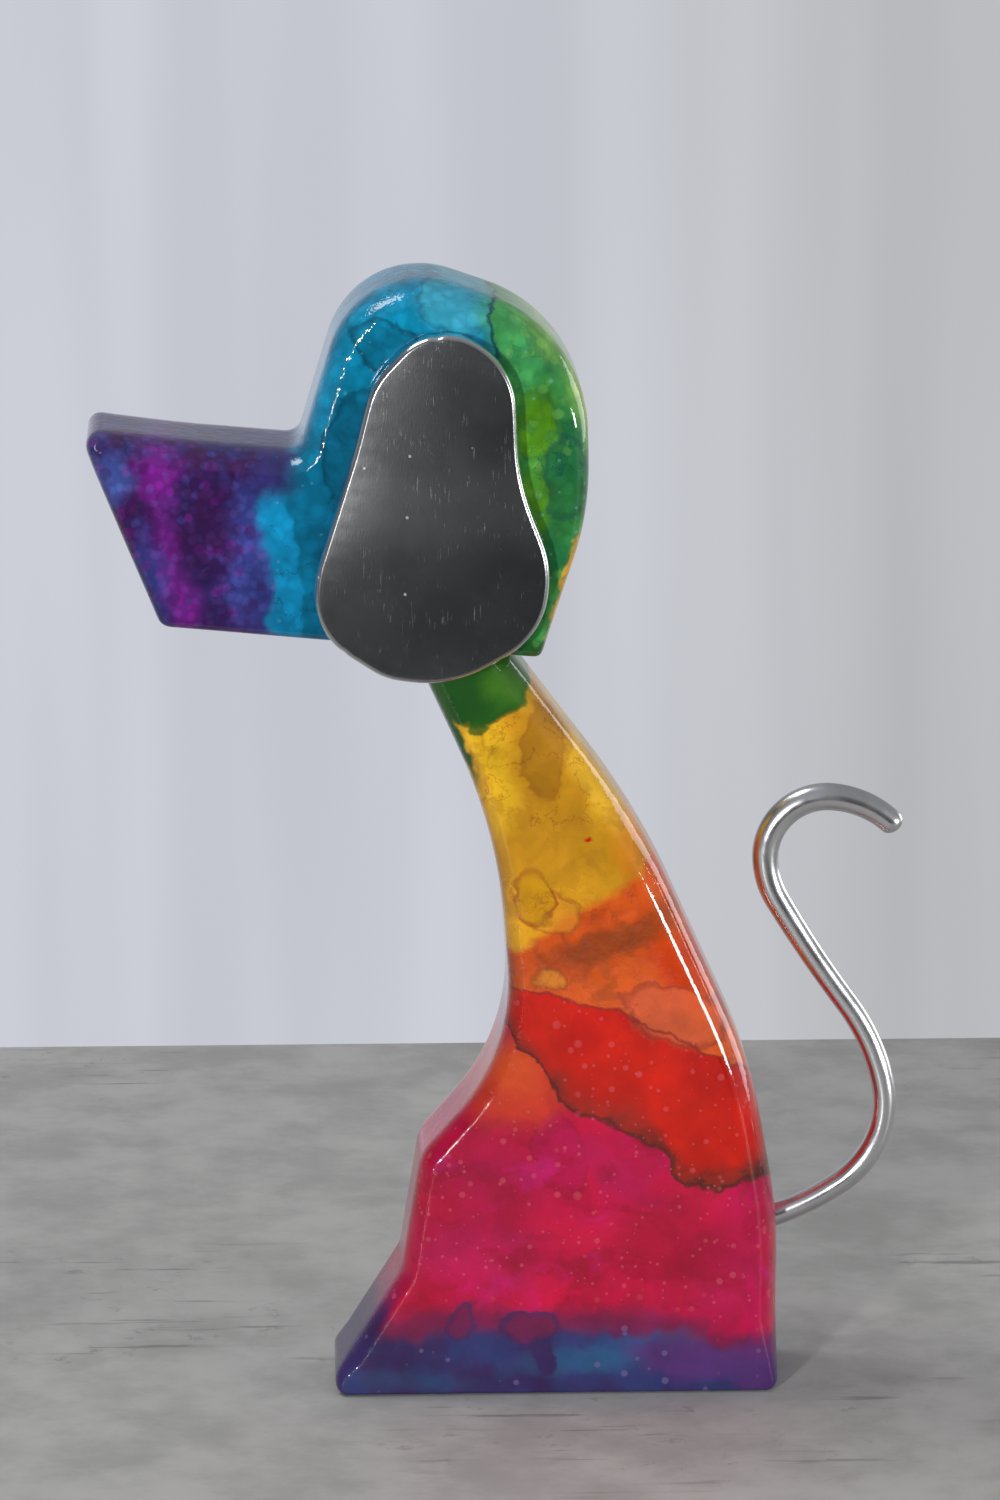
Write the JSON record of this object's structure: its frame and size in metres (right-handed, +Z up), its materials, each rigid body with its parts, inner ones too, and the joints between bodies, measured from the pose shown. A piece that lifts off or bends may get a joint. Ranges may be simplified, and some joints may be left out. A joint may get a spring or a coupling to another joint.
{
  "type": "dog figurine",
  "caption": "Stylised sitting dog figurine: inked, resin-coated wooden body and head, pear-shaped aluminium ears and a bent aluminium rod tail, on a flat base.",
  "frame": {"origin": "centre of the base's flat underside, on the surface that the figurine stands on", "axes": "+Z up; the dog looks along -X with its tail at +X; its left side, which the picture shows, is at -Y"},
  "size_m": [0.2144, 0.0632, 0.3004],
  "materials": {
    "body_wood": "rainbow ink under clear gloss resin",
    "head_wood": "rainbow ink under clear gloss resin",
    "ear_metal": "satin brushed, polished rim",
    "tail_metal": "polished"
  },
  "bodies": {
    "root": {"body": "body_wood", "head": "head_wood", "ear_left": "ear_metal", "ear_right": "ear_metal", "tail": "tail_metal"}
  },
  "joints": []
}
